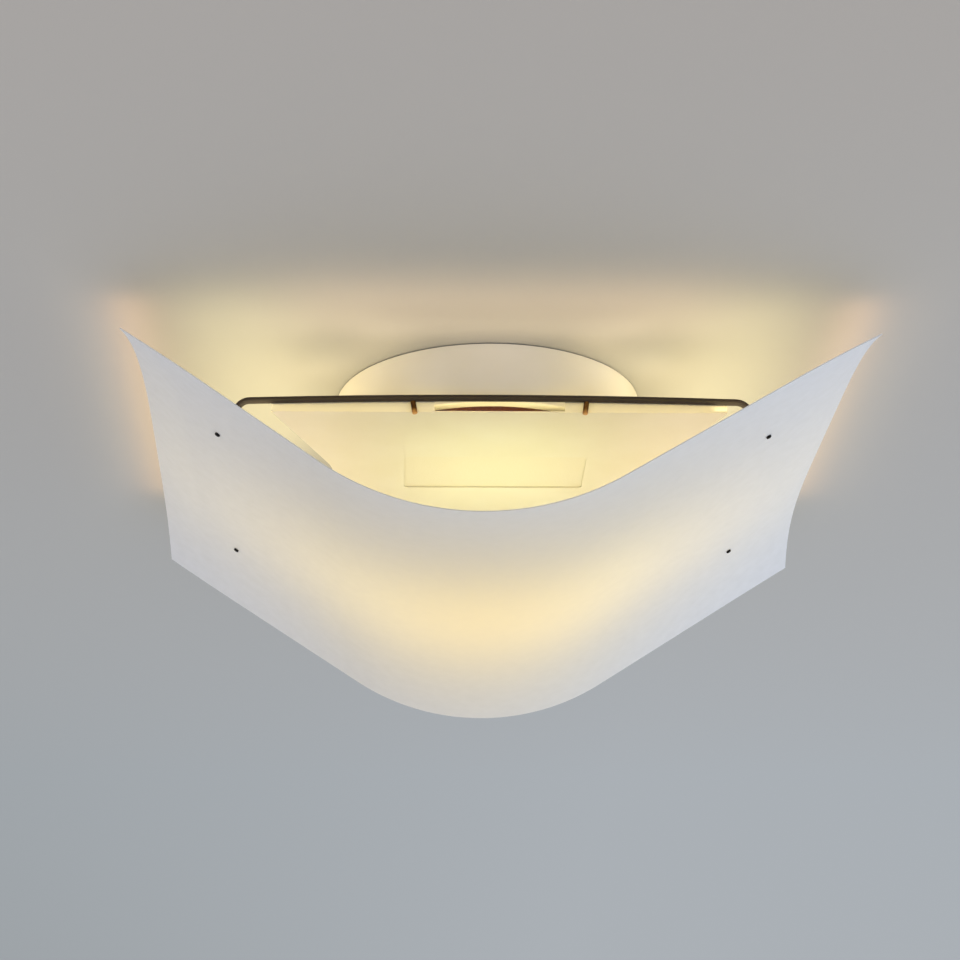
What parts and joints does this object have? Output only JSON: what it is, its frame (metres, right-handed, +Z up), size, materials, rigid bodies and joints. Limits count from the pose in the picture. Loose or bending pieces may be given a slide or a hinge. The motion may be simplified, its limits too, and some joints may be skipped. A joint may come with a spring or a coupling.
{
  "type": "paper ceiling light",
  "caption": "Ceiling light: a sheet of stiff paper slung as a trough from two steel rods under a white canopy and tray with a tubular lamp.",
  "frame": {"origin": "centre of the canopy on the ceiling plane", "axes": "+Z up into the ceiling, X along the two rods, Y from the near rod to the far one"},
  "size_m": [0.5717, 0.5, 0.2016],
  "materials": {
    "white_paint": "satin white powder coat",
    "dark_steel": "dark brown satin lacquer on steel",
    "paper": "stiff translucent white paper",
    "peg_brass": "browned brass",
    "black_screw": "blackened steel",
    "zinc_steel": "zinc-plated sheet steel",
    "steel_screw": "bright steel",
    "aluminium": "bright rolled aluminium",
    "ceramic": "unglazed steatite",
    "quartz": "clear fused quartz",
    "tungsten": "tungsten coil",
    "satin_glass": "acid-etched glass",
    "brass": "machined brass",
    "rubber": "matt black rubber",
    "nylon": "moulded nylon",
    "brown_sleeve": "silicone-coated glass sleeve",
    "blue_sleeve": "silicone-coated glass sleeve",
    "earth_sleeve": "PVC sleeve, green and yellow"
  },
  "bodies": {
    "fitting": {"mounting_plate": "zinc_steel", "canopy_drum": "white_paint", "drum_screws": "steel_screw", "cable_grommet": "rubber", "terminal_block": "nylon", "terminal_screws": "brass", "earth_screw": "brass", "earth_tag": "brass", "earth_lead": "earth_sleeve", "spacer_posts": "zinc_steel", "hanger_brackets": "zinc_steel", "tray": "white_paint", "pane_rails": "aluminium", "reflector": "aluminium", "right_lampholder": "ceramic", "left_lampholder": "ceramic", "lampholder_screws": "steel_screw", "contact_springs": "steel_screw", "right_lead": "brown_sleeve", "left_lead": "blue_sleeve", "near_rod": "dark_steel", "far_rod": "dark_steel", "rod_pegs": "peg_brass", "peg_screws": "steel_screw", "paper_sheet": "paper", "paper_screws": "black_screw"},
    "glass": {"glass_pane": "satin_glass"},
    "lamp": {"lamp_tube": "quartz", "lamp_caps": "ceramic", "lamp_filament": "tungsten"},
    "left_plunger": {"left_contact": "brass"},
    "right_plunger": {"right_contact": "brass"}
  },
  "joints": [
    {"name": "glass_slide", "type": "slide", "parent": "fitting", "child": "glass", "axis": [1, 0, 0], "range_m": [0, 0.145]},
    {"name": "lamp_push", "type": "slide", "parent": "fitting", "child": "lamp", "axis": [1, 0, 0], "range_m": [-0.0025, 0.0025], "stiffness_N_per_m": 400},
    {"name": "left_plunger_slide", "type": "slide", "parent": "fitting", "child": "left_plunger", "axis": [1, 0, 0], "range_m": [-0.0025, 0.0025]},
    {"name": "right_plunger_slide", "type": "slide", "parent": "fitting", "child": "right_plunger", "axis": [1, 0, 0], "range_m": [-0.0025, 0.0025]}
  ],
  "couplings": [
    {"joint": "left_plunger_slide", "follows": "lamp_push", "ratio": 1},
    {"joint": "right_plunger_slide", "follows": "lamp_push", "ratio": 1}
  ]
}
